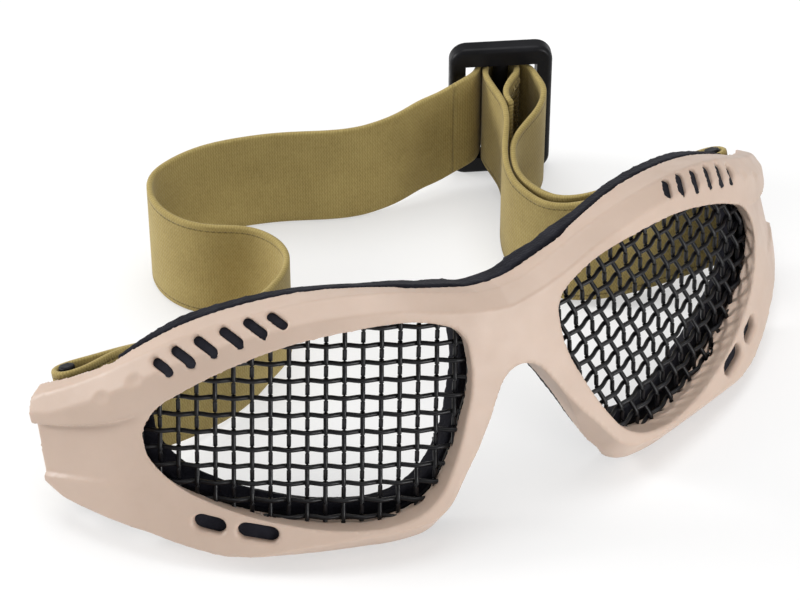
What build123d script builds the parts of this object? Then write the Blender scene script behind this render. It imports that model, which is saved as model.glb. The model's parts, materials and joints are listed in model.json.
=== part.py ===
from build123d import *
from math import asin, cos, radians, sin, sqrt, tan
import os

os.makedirs("parts", exist_ok=True)

# Mesh safety goggles lying on a flat surface, with the strap standing on its edge behind them.
# Millimetres, +Z up, +X to the wearer's left, the strap behind at +Y.
# The face frame is drawn in its worn attitude, on planes that lean back by rest_lean.

# Driving sizes of the face frame
half_width = 88.0
frame_height = 57.0
front_radius = 112.7
temple_spare = 7.0
front_reach = 10.7
temple_start_share = 0.7955
temple_wall = 5.2
nose_wall = 9.0
rest_lean = 22.0
rest_lift = 1.6
setback = 52.2

# Lens seat, wire mesh and its retainer
seat_middle_share = 0.517
seat_depth = 8.13
mesh_thickness = 1.2
mesh_pitch = 3.66
mesh_wire = 1.0
mesh_border = 1.0
mesh_margin = 1.8
mesh_turn = 11.0
retainer_thickness = 1.5
retainer_lip = 0.3
smallest_gap_share = 0.12
bond_gap = 0.15

# Face foam
foam_thickness = 6.0
foam_nose_thickness = 5.5
foam_nose_inset = 2.5
foam_nose_share = 0.25
foam_tip = 1.2
foam_taper = 15.0
foam_end_gap = 1.0
foam_gap = 0.3
foam_lap_temple = 5.0
foam_lap_chin = 2.4
foam_clear_brow = 0.8
foam_clear_nose = 0.5

# Brow slope, side panel, vents, dimples and drain slots
brow_depth = 3.3
brow_rise_share = 0.9
chin_rise = 4.6
chin_drop_share = 0.7
panel_depth = 1.7
panel_start_share = 0.784
panel_mid_share = 0.8
panel_fade_share = 0.07
vent_width = 2.0
vent_length = 6.2
vent_cut = 16.0
vent_tilt_share = 0.7
dimple_radius = 5.5
dimple_depth = 0.5
slot_height = 3.5
slot_bevel = 0.7
slot_cutter = 2.4
slot_cut = 6.5
slot_flare = 40.0

# Strap, its side clips and the sliding buckle
strap_width = 25.0
strap_thickness = 1.3
layer_gap = 0.35
bar_radius = 1.7
bar_gap = 0.3
bar_inset = 10.4
bar_side_share = 0.9823
bar_stand = 0.3
strap_middle = 31.5
clip_arm = 2.4
clip_play = 0.8
clip_plate = 1.3
clip_margin = 0.5
clip_length = 6.0
clip_round = 3.0
buckle_width = 23.6
buckle_rim = 4.5
buckle_depth = 4.4
buckle_bar = 3.6
buckle_play = 1.0
buckle_corner = 4.0
buckle_round = 1.2
buckle_x_share = 0.516
buckle_y_share = 1.010
buckle_turn = -23.0
weave_radius = 5.0
fold_radius = 3.3
level_share = 1.3
edge_fall_share = 0.12
side_level_share = 1.9
side_fall_share = 0.32
route_share = 1.13636
strap_step = 0.5
station_length = 7.0
station_turn = 16.0
tack_thread = 0.35
tack_margin = 2.0
tack_gap = 0.3

overrun = 40.0

lean_cos = cos(radians(rest_lean))
lean_sin = sin(radians(rest_lean))
ring_depth = mesh_thickness + retainer_thickness


# Places and turns that follow from the driving sizes
temple_start = half_width * temple_start_share
temple_radius = (half_width + temple_spare - temple_start) / (1 - temple_start / front_radius)
center_reach = front_radius - front_reach
arc_turn = asin(temple_start / front_radius)
arc_x = temple_start - temple_radius * sin(arc_turn)
arc_y = center_reach - (front_radius - temple_radius) * cos(arc_turn)
seat_middle = half_width * seat_middle_share
seat_turn = asin(seat_middle / front_radius)
yaw_sin, yaw_cos, yaw_tan = sin(seat_turn), cos(seat_turn), tan(seat_turn)
seat_front = center_reach - sqrt(front_radius**2 - seat_middle**2)
seat_reach = yaw_tan * (seat_middle - seat_depth * yaw_sin) - seat_front - seat_depth * yaw_cos
route_span = half_width * route_share
buckle_slot = strap_width + buckle_play
buckle_height = buckle_slot + 2 * buckle_rim
buckle_edge = (buckle_height - strap_width) / 2
buckle_x = route_span * buckle_x_share
buckle_y = route_span * buckle_y_share


def worn_point(x, y, z):
    """A point of the worn attitude, moved to the lying part."""
    return Vector(x, y * lean_cos + z * lean_sin - setback, z * lean_cos - y * lean_sin + rest_lift)


def worn_plan(height):
    """Level section plane of the worn frame; its y runs to the back of the head."""
    return Plane(origin=worn_point(0, 0, height), x_dir=(1, 0, 0), z_dir=(0, lean_sin, lean_cos))


def worn_front(reach):
    """Front view plane of the worn frame; its normal points to the front."""
    return Plane(origin=worn_point(0, reach, 0), x_dir=(1, 0, 0), z_dir=(0, -lean_cos, lean_sin))


def seat_plane(depth):
    """Plane of the right-hand lens seat, moved to the back by depth."""
    across = worn_point(yaw_cos, yaw_sin, 0) - worn_point(0, 0, 0)
    ahead = worn_point(yaw_sin, -yaw_cos, 0) - worn_point(0, 0, 0)
    start = worn_point(0, -seat_reach, 0) - ahead * depth
    return Plane(origin=start, x_dir=across, z_dir=ahead)


# Front view outline of the frame, as shares of half_width and frame_height
BOTTOM_SHARES = [
    (0.000, 0.558), (0.028, 0.545), (0.060, 0.495), (0.096, 0.396), (0.134, 0.266),
    (0.170, 0.150), (0.204, 0.060), (0.238, 0.018), (0.276, 0.002), (0.324, 0.001),
    (0.400, 0.012), (0.510, 0.034), (0.600, 0.062), (0.668, 0.085), (0.710, 0.098),
    (0.760, 0.135), (0.840, 0.212), (0.920, 0.283), (0.975, 0.345), (1.000, 0.408),
]
TOP_SHARES = [
    (1.000, 0.625), (0.994, 0.692), (0.972, 0.728), (0.912, 0.771), (0.824, 0.834),
    (0.717, 0.903), (0.632, 0.939), (0.545, 0.958), (0.430, 0.965), (0.330, 0.951),
    (0.228, 0.921), (0.125, 0.873), (0.056, 0.843), (0.000, 0.834),
]
# Lens opening in the front view, clockwise from its inner top corner
OPENING_SHARES = [
    (0.118, 0.670), (0.131, 0.740), (0.165, 0.782), (0.204, 0.810), (0.262, 0.833),
    (0.340, 0.845), (0.430, 0.848), (0.520, 0.836), (0.600, 0.808), (0.680, 0.765),
    (0.745, 0.716), (0.790, 0.665), (0.813, 0.600), (0.817, 0.545), (0.806, 0.472),
    (0.774, 0.390), (0.719, 0.312), (0.652, 0.242), (0.574, 0.184), (0.493, 0.136),
    (0.420, 0.110), (0.350, 0.103), (0.296, 0.119), (0.253, 0.158), (0.219, 0.222),
    (0.184, 0.318), (0.151, 0.436), (0.123, 0.567), (0.118, 0.670),
]
# Creases above and below the side panel, from the end of the temple to the lens corner
PANEL_SHARES = [
    (1.060, 0.632), (0.958, 0.625), (0.886, 0.635), (0.848, 0.651), (0.809, 0.675),
    (0.775, 0.700), (0.760, 0.560), (0.780, 0.380), (0.823, 0.382), (0.858, 0.398),
    (0.910, 0.414), (0.962, 0.426), (1.060, 0.428),
]
# Centres of the brow vents and of the two dimples beyond them
VENT_SHARES = [
    (0.508, 0.933), (0.556, 0.924), (0.608, 0.908), (0.662, 0.889), (0.710, 0.865), (0.753, 0.836),
]
DIMPLE_SHARES = [(0.811, 0.788), (0.876, 0.736)]
# Ends of the two drain slots
SLOT_SHARES = [((0.717, 0.217), (0.745, 0.238)), ((0.618, 0.158), (0.664, 0.186))]
# Stations of the brow and chin slopes, each with its share of the slope's height
SLOPE_STATION_SHARES = [
    (0.000, 1), (0.100, 1), (0.230, 1), (0.330, 1), (0.430, 1), (0.545, 1), (0.630, 1), (0.720, 1),
    (0.820, 1), (0.910, 1), (0.970, 1),
]
CHIN_STATION_SHARES = [
    (0.060, -0.30), (0.096, 0.05), (0.134, 0.55), (0.170, 1.10), (0.204, 1.30), (0.238, 1.15),
    (0.276, 1.02), (0.324, 0.95), (0.400, 0.88), (0.510, 0.70), (0.600, 0.34), (0.668, 0.02), (0.760, -0.40),
]


def front_points(shares):
    return [(x * half_width, z * frame_height) for x, z in shares]


def front_line(x):
    """Reach of the outer face at x, measured to the back."""
    if x <= temple_start:
        return center_reach - sqrt(front_radius**2 - x**2)
    return arc_y - sqrt(max(temple_radius**2 - (x - arc_x) ** 2, 0))


def temple_point(inset, x_outer):
    """Point under the outer face of the temple, inset square to it."""
    turn = asin((x_outer - arc_x) / temple_radius)
    radius = temple_radius - inset
    return (arc_x + radius * sin(turn), arc_y - radius * cos(turn))


def seat_corner(depth, wall):
    """Where the plane behind the seat meets the inner face of the temple."""
    base = -seat_reach + depth / yaw_cos
    radius = temple_radius - wall
    a = 1 + yaw_tan**2
    b = -2 * arc_x + 2 * yaw_tan * (base - arc_y)
    c = arc_x**2 + (base - arc_y) ** 2 - radius**2
    x = (-b + sqrt(b * b - 4 * a * c)) / (2 * a)
    return (x, base + yaw_tan * x)


def rear_points(depth, nose, wall):
    """Nose corner, seat corner and temple end of a face behind the seat."""
    nose_y = -front_reach + nose
    base = -seat_reach + depth / yaw_cos
    return ((nose_y - base) / yaw_tan, nose_y), seat_corner(depth, wall), temple_point(wall, half_width)


def temple_middle(wall, start, end):
    """Middle point of the arc between two points of one temple face."""
    radius = temple_radius - wall
    first = asin((start[0] - arc_x) / radius)
    last = asin((end[0] - arc_x) / radius)
    turn = (first + last) / 2
    return (arc_x + radius * sin(turn), arc_y - radius * cos(turn))


def seat_points(shares):
    """Outline points of the front view, laid on the seat plane."""
    return [(x * half_width / yaw_cos, z * frame_height) for x, z in shares]


def arc_line(points):
    """Run of arcs, each through three of the points in turn."""
    for first, middle, last in zip(points[:-2:2], points[1:-1:2], points[2::2]):
        ThreePointArc(first, middle, last)
    if len(points) % 2 == 0:
        Line(points[-2], points[-1])


def widened(points, margin):
    """Closed outline stretched about its middle, so that it grows by margin on each side."""
    xs = [x for x, y in points]
    ys = [y for x, y in points]
    mid_x, mid_y = (min(xs) + max(xs)) / 2, (min(ys) + max(ys)) / 2
    grow_x = 1 + 2 * margin / (max(xs) - min(xs))
    grow_y = 1 + 2 * margin / (max(ys) - min(ys))
    return [(mid_x + (x - mid_x) * grow_x, mid_y + (y - mid_y) * grow_y) for x, y in points]


def refitted(points, left, right, down, up):
    """Closed outline stretched so that its four sides move out by these amounts."""
    xs = [x for x, y in points]
    ys = [y for x, y in points]
    wide, tall = max(xs) - min(xs), max(ys) - min(ys)
    return [(min(xs) - left + (x - min(xs)) * (wide + left + right) / wide,
             min(ys) - down + (y - min(ys)) * (tall + down + up) / tall) for x, y in points]


def along(shares, x):
    """Height share of an outline at the share x, by straight lines between its points."""
    run = sorted(shares)
    for (x0, z0), (x1, z1) in zip(run, run[1:]):
        if x0 <= x <= x1:
            return z0 + (z1 - z0) * (x - x0) / (x1 - x0)
    return run[-1][1]


def slope_points(shares, rise, slope, stations):
    """Trace, on the front view plane one overrun ahead, of a slope that starts at the outer face."""
    points = []
    for share, height_share in stations:
        x = share * half_width
        foot = along(shares, share) * frame_height - rise * height_share
        points.append((x, foot - slope * (front_line(min(x, half_width)) + overrun)))
    (x0, z0), (x1, z1) = points[-2:]
    reach = (half_width + overrun / 4 - x1) / (x1 - x0)
    points.append((x1 + (x1 - x0) * reach, z1 + (z1 - z0) * reach))
    return points


def worn_direction(x, y, z):
    return worn_point(x, y, z) - worn_point(0, 0, 0)


def slope_reach(x, z):
    """Reach of the outer face at x and height z, on the brow slope where there is one."""
    foot = along(TOP_SHARES, x / half_width) * frame_height - brow_depth
    return front_line(x) + max(z - foot, 0) / brow_rise_share


def face_plane(x, z, step, lift):
    """Plane on the outer face, its x along step (sideways, up), lifted out of the face."""
    near = vent_width
    side_x = (slope_reach(x + near, z) - slope_reach(x - near, z)) / (2 * near)
    side_z = (slope_reach(x, z + near / 4) - slope_reach(x, z - near / 4)) / (near / 2)
    out = worn_direction(side_x, -1, side_z).normalized()
    run = worn_direction(step[0], side_x * step[0] + side_z * step[1], step[1])
    return Plane(origin=worn_point(x, slope_reach(x, z), z) + out * lift, x_dir=run, z_dir=out)


# Frame shell: one half of a curved blank, trimmed to its front view, cut and then mirrored
shell_rear = rear_points(ring_depth, nose_wall, temple_wall)
crown = (0, -front_reach)
bend = (temple_start, front_line(temple_start))
tip = temple_point(0, half_width)
ahead = worn_front(-overrun)
low = front_points(BOTTOM_SHARES)
high = front_points(TOP_SHARES)
with BuildPart() as shell_half:
    with BuildSketch(worn_plan(-overrun / 4)):
        with BuildLine():
            middle = (temple_start / 2, front_line(temple_start / 2))
            ThreePointArc(crown, middle, bend)
            ThreePointArc(bend, temple_middle(0, bend, tip), tip)
            nose, seat, end = shell_rear
            Line(tip, end)
            ThreePointArc(end, temple_middle(temple_wall, end, seat), seat)
            Polyline(seat, nose, (0, nose[1]), crown)
        make_face()
    extrude(amount=frame_height + overrun / 2)
    with BuildSketch(worn_front(0)):
        with BuildLine():
            arc_line(low)
            Line(low[-1], high[0])
            arc_line(high)
            Line(high[-1], low[0])
        make_face()
    extrude(amount=overrun + half_width, both=True, mode=Mode.INTERSECT)
    # Brow slope
    with BuildSketch(ahead):
        with BuildLine():
            slope = slope_points(TOP_SHARES, brow_depth, brow_rise_share, SLOPE_STATION_SHARES)
            arc_line(slope[:-1])
            Line(slope[-2], slope[-1])
            far_top = frame_height + overrun
            Polyline(slope[-1], (slope[-1][0], far_top), (0, far_top), slope[0])
        make_face()
    extrude(amount=half_width + 2 * overrun, dir=worn_direction(0, 1, brow_rise_share), mode=Mode.SUBTRACT)
    # Slope under the cheek
    with BuildSketch(ahead):
        with BuildLine():
            chin = slope_points(BOTTOM_SHARES, -chin_rise, -chin_drop_share, CHIN_STATION_SHARES)
            arc_line(chin[:-1])
            Line(chin[-2], chin[-1])
            far_low = -2 * overrun
            Polyline(chin[-1], (chin[-1][0], far_low), (chin[0][0], far_low), chin[0])
        make_face()
    extrude(amount=half_width + 2 * overrun, dir=worn_direction(0, 1, -chin_drop_share), mode=Mode.SUBTRACT)
    # Lens opening
    with BuildSketch(worn_front(0)):
        with BuildLine():
            arc_line(front_points(OPENING_SHARES))
        make_face()
    extrude(amount=overrun + half_width, both=True, mode=Mode.SUBTRACT)
    # Pocket that holds the mesh and its retainer, open to the back
    with BuildSketch(seat_plane(0)):
        with BuildLine():
            arc_line(widened(seat_points(OPENING_SHARES), mesh_margin))
        make_face()
    extrude(amount=-overrun, mode=Mode.SUBTRACT)

# Side panel, hollowed between the two creases, deepest at the upper one and fading out at the lens corner
panel_top = max(z for x, z in front_points(PANEL_SHARES))
panel_start = half_width * panel_start_share
temple_turn = asin((half_width - arc_x) / temple_radius)
with BuildPart() as panel_cut:
    with BuildSketch(worn_plan(panel_top)):
        with BuildLine():
            start = (panel_start, front_line(panel_start))
            past = temple_point(panel_depth, half_width + temple_wall / 2)
            between = temple_point(panel_depth * panel_mid_share, (start[0] + half_width) / 2)
            ThreePointArc(start, between, past)
            Polyline(past, (past[0] + overrun, past[1]), (past[0] + overrun, start[1]), start)
        make_face()
    fall = worn_direction(panel_fade_share * sin(temple_turn), -panel_fade_share * cos(temple_turn), -1)
    extrude(amount=frame_height / 2, dir=fall)
    with BuildSketch(worn_front(0)):
        with BuildLine():
            arc_line(front_points(PANEL_SHARES[:6]))
            arc_line(front_points(PANEL_SHARES[5:8]))
            arc_line(front_points(PANEL_SHARES[7:]))
            Line(*front_points((PANEL_SHARES[-1], PANEL_SHARES[0])))
        make_face()
    extrude(amount=overrun + half_width, both=True, mode=Mode.INTERSECT)

with BuildPart() as frame_shell:
    add(shell_half.part)
    add(panel_cut.part, mode=Mode.SUBTRACT)
    for number, (x, z) in enumerate(front_points(VENT_SHARES)):
        outer = number in (0, len(VENT_SHARES) - 1)
        length = vent_length - vent_width / 2 if outer else vent_length
        with BuildSketch(face_plane(x, z, (vent_tilt_share, 1), vent_width)):
            SlotOverall(length, vent_width)
        extrude(amount=-vent_cut, mode=Mode.SUBTRACT)
    for x, z in front_points(DIMPLE_SHARES):
        with Locations(face_plane(x, z, (1, 0), dimple_radius - dimple_depth).origin):
            Sphere(dimple_radius, mode=Mode.SUBTRACT)
    for low_end, high_end in SLOT_SHARES:
        (x0, z0), (x1, z1) = front_points((low_end, high_end))
        reach = front_line(x1) - front_line(x0)
        length = sqrt((x1 - x0) ** 2 + (z1 - z0) ** 2 + reach**2)
        spot = ((x0 + x1) / 2, (z0 + z1) / 2)
        with BuildSketch(face_plane(*spot, (x1 - x0, z1 - z0), 0)):
            SlotCenterToCenter(length, slot_height)
        extrude(amount=-slot_cut, mode=Mode.SUBTRACT)
        with BuildSketch(face_plane(*spot, (x1 - x0, z1 - z0), -slot_bevel)):
            SlotCenterToCenter(length, slot_height)
        extrude(amount=slot_cutter, taper=-slot_flare, mode=Mode.SUBTRACT)
    split(bisect_by=Plane.XY, keep=Keep.TOP)
    mirror(about=Plane.YZ)
frame_shell.part.label = "frame_shell"
export_step(frame_shell.part, "parts/frame_shell.step")

# Wire mesh: a flat net with a closed border, laid in the pocket against the seat
net_outline = widened(seat_points(OPENING_SHARES), mesh_margin - bond_gap)
net_window = widened(seat_points(OPENING_SHARES), mesh_margin - bond_gap - mesh_border)
hole = mesh_pitch - mesh_wire
net_x = (min(x for x, y in net_outline) + max(x for x, y in net_outline)) / 2
net_y = (min(y for x, y in net_outline) + max(y for x, y in net_outline)) / 2
across = int((max(x for x, y in net_outline) - net_x) / mesh_pitch + 2) * 2
with BuildSketch(Plane.XY) as holes:
    with BuildLine():
        arc_line(net_window)
    make_face()
    with BuildSketch(Plane.XY, mode=Mode.INTERSECT):
        with Locations(Location((net_x, net_y, 0), (0, 0, mesh_turn))):
            with GridLocations(mesh_pitch, mesh_pitch, across, across):
                Rectangle(hole, hole)
kept = [face for face in holes.sketch.faces() if face.area > hole * hole * smallest_gap_share]
with BuildPart() as mesh_right:
    with BuildSketch(seat_plane(0)):
        with BuildLine():
            arc_line(net_outline)
        make_face()
        add(kept, mode=Mode.SUBTRACT)
    extrude(amount=-mesh_thickness)

# Retainer that presses the border of the mesh against the seat
with BuildPart() as retainer_right:
    with BuildSketch(seat_plane(mesh_thickness)):
        with BuildLine():
            arc_line(widened(seat_points(OPENING_SHARES), mesh_margin - bond_gap))
        make_face()
        with BuildLine():
            arc_line(widened(seat_points(OPENING_SHARES), retainer_lip))
        make_face(mode=Mode.SUBTRACT)
    extrude(amount=-retainer_thickness)

# Face foam: a layer behind the frame, thicker over the nose and thinned towards the temples
foam_depth = ring_depth + foam_gap
foam_wall = temple_wall + foam_gap
front_nose, front_seat, _ = rear_points(foam_depth, nose_wall + foam_gap, foam_wall)
back_nose, _, _ = rear_points(foam_depth + foam_thickness, nose_wall + foam_gap + foam_nose_thickness, foam_wall)
foam_low = [(0, low[0][1] + foam_nose_inset)]
for x, z in low[1:]:
    foam_low.append((x + foam_nose_inset, z) if x < half_width * foam_nose_share else (x, z))
with BuildPart() as face_foam:
    with BuildSketch(worn_plan(-overrun / 4)):
        with BuildLine():
            end_x = front_seat[0] - foam_end_gap
            slim_x = end_x - foam_taper
            foam_end = (end_x, foam_depth / yaw_cos - seat_reach + yaw_tan * end_x)
            thick = (foam_depth + foam_thickness) / yaw_cos - seat_reach + yaw_tan * slim_x
            Polyline((0, front_nose[1]), front_nose, foam_end, (end_x, foam_end[1] + foam_tip), (slim_x, thick),
                     back_nose, (0, back_nose[1]), (0, front_nose[1]))
        make_face()
    extrude(amount=frame_height + overrun / 2)
    with BuildSketch(worn_front(0)):
        with BuildLine():
            arc_line(foam_low)
            Line(foam_low[-1], high[0])
            arc_line(high)
            Line(high[-1], foam_low[0])
        make_face()
    extrude(amount=overrun + half_width, both=True, mode=Mode.INTERSECT)
    with BuildSketch(worn_front(0)):
        with BuildLine():
            arc_line(refitted(front_points(OPENING_SHARES), foam_clear_nose, -foam_lap_temple,
                              -foam_lap_chin, foam_clear_brow))
        make_face()
    extrude(amount=overrun + half_width, both=True, mode=Mode.SUBTRACT)
    split(bisect_by=Plane.XY, keep=Keep.TOP)
    mirror(about=Plane.YZ)
face_foam.part.label = "face_foam"
export_step(face_foam.part, "parts/face_foam.step")

# Strap clip: a plate on the inner wall of the temple, an arm at its foot and an upright bar on the arm
clip_low = strap_middle - strap_width / 2 - clip_play
clip_high = strap_middle + strap_width / 2
plate_face = temple_wall + bond_gap
corner_turn = asin((front_seat[0] - arc_x) / (temple_radius - foam_wall))
clip_start = arc_x + temple_radius * sin(corner_turn) + clip_margin
clip_end = clip_start + clip_length
bar_x, bar_reach = temple_point(bar_inset, half_width * bar_side_share)
with BuildPart() as clip_right:
    with BuildSketch(worn_plan(clip_low - clip_arm)):
        with BuildLine():
            first, last = temple_point(plate_face, clip_start), temple_point(plate_face, clip_end)
            inner = plate_face + clip_plate
            back, ahead_end = temple_point(inner, clip_end), temple_point(inner, clip_start)
            ThreePointArc(first, temple_middle(plate_face, first, last), last)
            Line(last, back)
            ThreePointArc(back, temple_middle(inner, back, ahead_end), ahead_end)
            Line(ahead_end, first)
        make_face()
    extrude(amount=clip_high - clip_low + clip_arm)
    with BuildSketch(worn_plan(clip_low - clip_arm)):
        with BuildLine():
            root = temple_point(inner - clip_plate / 2, clip_start)
            far = temple_point(inner - clip_plate / 2, clip_end)
            Polyline(root, (bar_x - clip_round, bar_reach), (bar_x, bar_reach + clip_round), far, root)
        make_face()
        with Locations((bar_x, bar_reach)):
            Circle(clip_round)
    extrude(amount=clip_arm)
    with BuildSketch(worn_plan(clip_low - clip_arm / 2)):
        with Locations((bar_x, bar_reach)):
            Circle(bar_radius)
    extrude(amount=clip_high - clip_low + clip_arm / 2 + bar_stand)
for name, piece in (("mesh_lens", mesh_right), ("lens_retainer", retainer_right), ("strap_clip", clip_right)):
    left = mirror(piece.part, about=Plane.YZ)
    piece.part.label = name + "_right"
    left.label = name + "_left"
    export_step(piece.part, f"parts/{name}_right.step")
    export_step(left, f"parts/{name}_left.step")


# Routes of the strap: sideways, to the back, height of the lower edge, and lean,
# the first three as shares of route_span and the last of rest_lean
def bar_wrap(side, turns):
    """Stations of the strap round a clip bar, at turns counted from straight behind it."""
    radius = bar_radius + bar_gap + strap_thickness / 2
    stations = []
    for turn in turns:
        center = worn_point(side * (bar_x + radius * sin(radians(turn))),
                            bar_reach + radius * cos(radians(turn)), strap_middle)
        low_edge = center.Z - strap_width / 2 * lean_cos
        stations.append((center.X / route_span, (center.Y + setback) / route_span, low_edge / route_span, 1.0))
    return stations


def buckle_point(across, behind):
    """A point of the buckle, given across it and behind its middle plane."""
    turn = radians(buckle_turn)
    x = buckle_x + across * cos(turn) - behind * sin(turn)
    y = buckle_y + across * sin(turn) + behind * cos(turn)
    return x, y


def buckle_route(points, radius):
    """Stations of the strap through the buckle: points, then round its bar, then more points."""
    before, after = points
    spots = [(u * buckle_depth, v * buckle_depth) for u, v in before]
    spots += [(radius * sin(radians(turn)), radius * cos(radians(turn))) for turn in BAR_TURNS]
    spots += [(u * buckle_depth, v * buckle_depth) for u, v in after]
    stations = []
    for across, behind in spots:
        x, y = buckle_point(across, behind)
        below = max(-behind / buckle_depth - level_share, 0)
        aside = max(-across / buckle_depth - side_level_share, 0)
        edge = buckle_edge * (1 - edge_fall_share * below - side_fall_share * aside)
        stations.append((x / route_span, y / route_span, edge / route_span, 0.0))
    return stations


def strap_strip(route, width, thickness, shift, start_share, end_share):
    """Strip along a route, its sections square to it, moved sideways by shift."""
    places = [(x * route_span, y * route_span - setback, edge * route_span) for x, y, edge, lean in route]
    centers = []
    for (x, y, edge), (_, _, _, lean) in zip(places, route):
        centers.append(Vector(x, y, edge + strap_width / 2 * cos(radians(lean * rest_lean))))
    run = Spline(*centers, mode=Mode.PRIVATE)
    marks = [run.param_at_point(center) for center in centers]
    steps = int(run.length / strap_step)
    stations = []
    for step in range(steps + 1):
        share = start_share + (end_share - start_share) * step / steps
        along_run = run.tangent_at(share)
        if stations and step < steps:
            turned = along_run.get_angle(stations[-1][1]) > station_turn
            if not turned and (share - stations[-1][0]) * run.length < station_length:
                continue
        stations.append((share, along_run))
    with BuildPart() as strip:
        for share, along_run in stations:
            lean = 0
            for (m0, m1), (s0, s1) in zip(zip(marks, marks[1:]), zip(route, route[1:])):
                if m0 <= share <= m1:
                    lean = s0[3] + (s1[3] - s0[3]) * (share - m0) / (m1 - m0)
            lean = radians(lean * rest_lean)
            upward = Vector(0, sin(lean), cos(lean))
            forward = (along_run - upward * along_run.dot(upward)).normalized()
            aside = upward.cross(forward)
            center = run.position_at(share)
            center.Z = max(center.Z, strap_width / 2 * cos(lean) + strap_thickness / 2 * sin(lean))
            with BuildSketch(Plane(origin=center + aside * shift, x_dir=upward, z_dir=forward)):
                Rectangle(width, thickness)
        loft(ruled=True)
    return strip.part


WRAP_TURNS = [0, 45, 90, 135, 180]
BAR_TURNS = [-90, -60, -30, 0, 30, 60, 90]
TAIL_SHARES = [(-0.615, 0.480, 0.044, 0.75), (-0.650, 0.475, 0.049, 0.82), (-0.690, 0.463, 0.055, 0.92)]
REAR_SHARES = [
    (-0.720, 0.490, 0.042, 1.00), (-0.650, 0.495, 0.034, 0.82), (-0.570, 0.500, 0.022, 0.64),
    (-0.450, 0.515, 0.008, 0.36), (-0.360, 0.545, 0.002, 0.18), (-0.285, 0.585, 0, 0),
    (-0.225, 0.630, 0, 0), (-0.198, 0.685, 0, 0), (-0.202, 0.735, 0, 0), (-0.235, 0.790, 0, 0),
    (-0.295, 0.830, 0, 0), (-0.343, 0.875, 0, 0), (-0.369, 0.935, 0, 0), (-0.369, 1.000, 0, 0),
    (-0.340, 1.058, 0, 0), (-0.280, 1.090, 0, 0), (-0.200, 1.102, 0, 0), (-0.110, 1.090, 0, 0),
    (-0.020, 1.063, 0, 0), (0.060, 1.028, 0, 0), (0.120, 1.006, 0, 0), (0.188, 0.996, 0.003, 0),
    (0.250, 0.996, 0.010, 0), (0.305, 1.002, 0.019, 0), (0.3455, 1.0035, 0.0245, 0),
]
FRONT_LAYER_SHARES = [
    (0.417, 0.809, 0.028, 0), (0.387, 0.761, 0.016, 0), (0.367, 0.714, 0.006, 0), (0.358, 0.665, 0.001, 0),
    (0.362, 0.610, 0, 0), (0.378, 0.560, 0.002, 0.12), (0.410, 0.518, 0.008, 0.32),
    (0.460, 0.488, 0.018, 0.52), (0.530, 0.466, 0.034, 0.76), (0.620, 0.452, 0.050, 0.94), (0.710, 0.448, 0.057, 1.00),
]
BACK_LAYER_SHARES = [
    (0.710, 0.490, 0.042, 1.00), (0.620, 0.490, 0.036, 0.90), (0.540, 0.498, 0.024, 0.70),
    (0.475, 0.518, 0.012, 0.44), (0.426, 0.550, 0.004, 0.20), (0.396, 0.592, 0, 0.04), (0.381, 0.640, 0, 0),
    (0.380, 0.690, 0.003, 0), (0.393, 0.734, 0.009, 0), (0.420, 0.776, 0.018, 0),
]
WEAVE_SHARES = (
    [(-3.40, -1.60), (-2.60, -1.38), (-1.95, -1.18), (-1.45, -0.72)],
    [(1.44, -0.42), (1.74, -1.25), (1.97, -2.05), (1.84, -2.95), (1.32, -3.95), (0.72, -4.85)],
)
FOLD_SHARES = (
    [(-0.27, -4.95), (-0.16, -4.10), (-0.18, -3.25), (-0.42, -2.35), (-0.76, -1.40), (-0.86, -0.55)],
    [(0.80, -0.50), (0.52, -1.18), (0.14, -1.85), (0.02, -2.45), (0.20, -3.10)],
)
LEFT_TACK_SHARES = (0.012, 0.032)
FOLD_TACK_SHARES = (0.78, 0.92)
left_route = TAIL_SHARES + bar_wrap(-1, reversed(WRAP_TURNS)) + REAR_SHARES
right_route = FRONT_LAYER_SHARES + bar_wrap(1, reversed(WRAP_TURNS)) + BACK_LAYER_SHARES
weave_route = buckle_route(WEAVE_SHARES, weave_radius)
fold_route = buckle_route(FOLD_SHARES, fold_radius)
for name, route in (("strap_rear_run", left_route), ("strap_right_loop", right_route),
                    ("strap_weave", weave_route), ("strap_fold", fold_route)):
    strip = strap_strip(route, strap_width, strap_thickness, 0, 0, 1)
    strip.label = name
    export_step(strip, f"parts/{name}.step")

# Bar tacks: patches of stitching that hold the two sewn ends of the strap
tack_shift = (strap_thickness + tack_thread) / 2 + tack_gap
for name, route, side, ends in (("bar_tack_left", left_route, 1, LEFT_TACK_SHARES),
                                ("bar_tack_buckle", fold_route, 1, FOLD_TACK_SHARES)):
    patch = strap_strip(route, strap_width - 2 * tack_margin, tack_thread, side * tack_shift, *ends)
    patch.label = name
    export_step(patch, f"parts/{name}.step")

# Buckle: a rounded plate with one window and a round bar up its middle
turn_cos, turn_sin = cos(radians(buckle_turn)), sin(radians(buckle_turn))
buckle_plane = Plane(origin=(buckle_x, buckle_y - setback, buckle_height / 2), x_dir=(turn_cos, turn_sin, 0),
                     z_dir=(turn_sin, -turn_cos, 0))
with BuildPart() as tri_glide:
    with BuildSketch(buckle_plane):
        RectangleRounded(buckle_width, buckle_height, buckle_corner)
    extrude(amount=buckle_depth / 2, both=True)
    fillet(tri_glide.edges(), buckle_round)
    with BuildSketch(buckle_plane):
        Rectangle(buckle_width - 2 * buckle_bar, buckle_slot)
    extrude(amount=buckle_depth, both=True, mode=Mode.SUBTRACT)
    with Locations(buckle_plane):
        Cylinder(bar_radius, buckle_slot + buckle_bar, rotation=(90, 0, 0))
tri_glide.part.label = "tri_glide"
export_step(tri_glide.part, "parts/tri_glide.step")
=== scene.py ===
import json
from math import asin, copysign, cos, pi, radians, sin, sqrt

import bpy
import numpy as np
from mathutils import Matrix, Vector

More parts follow.
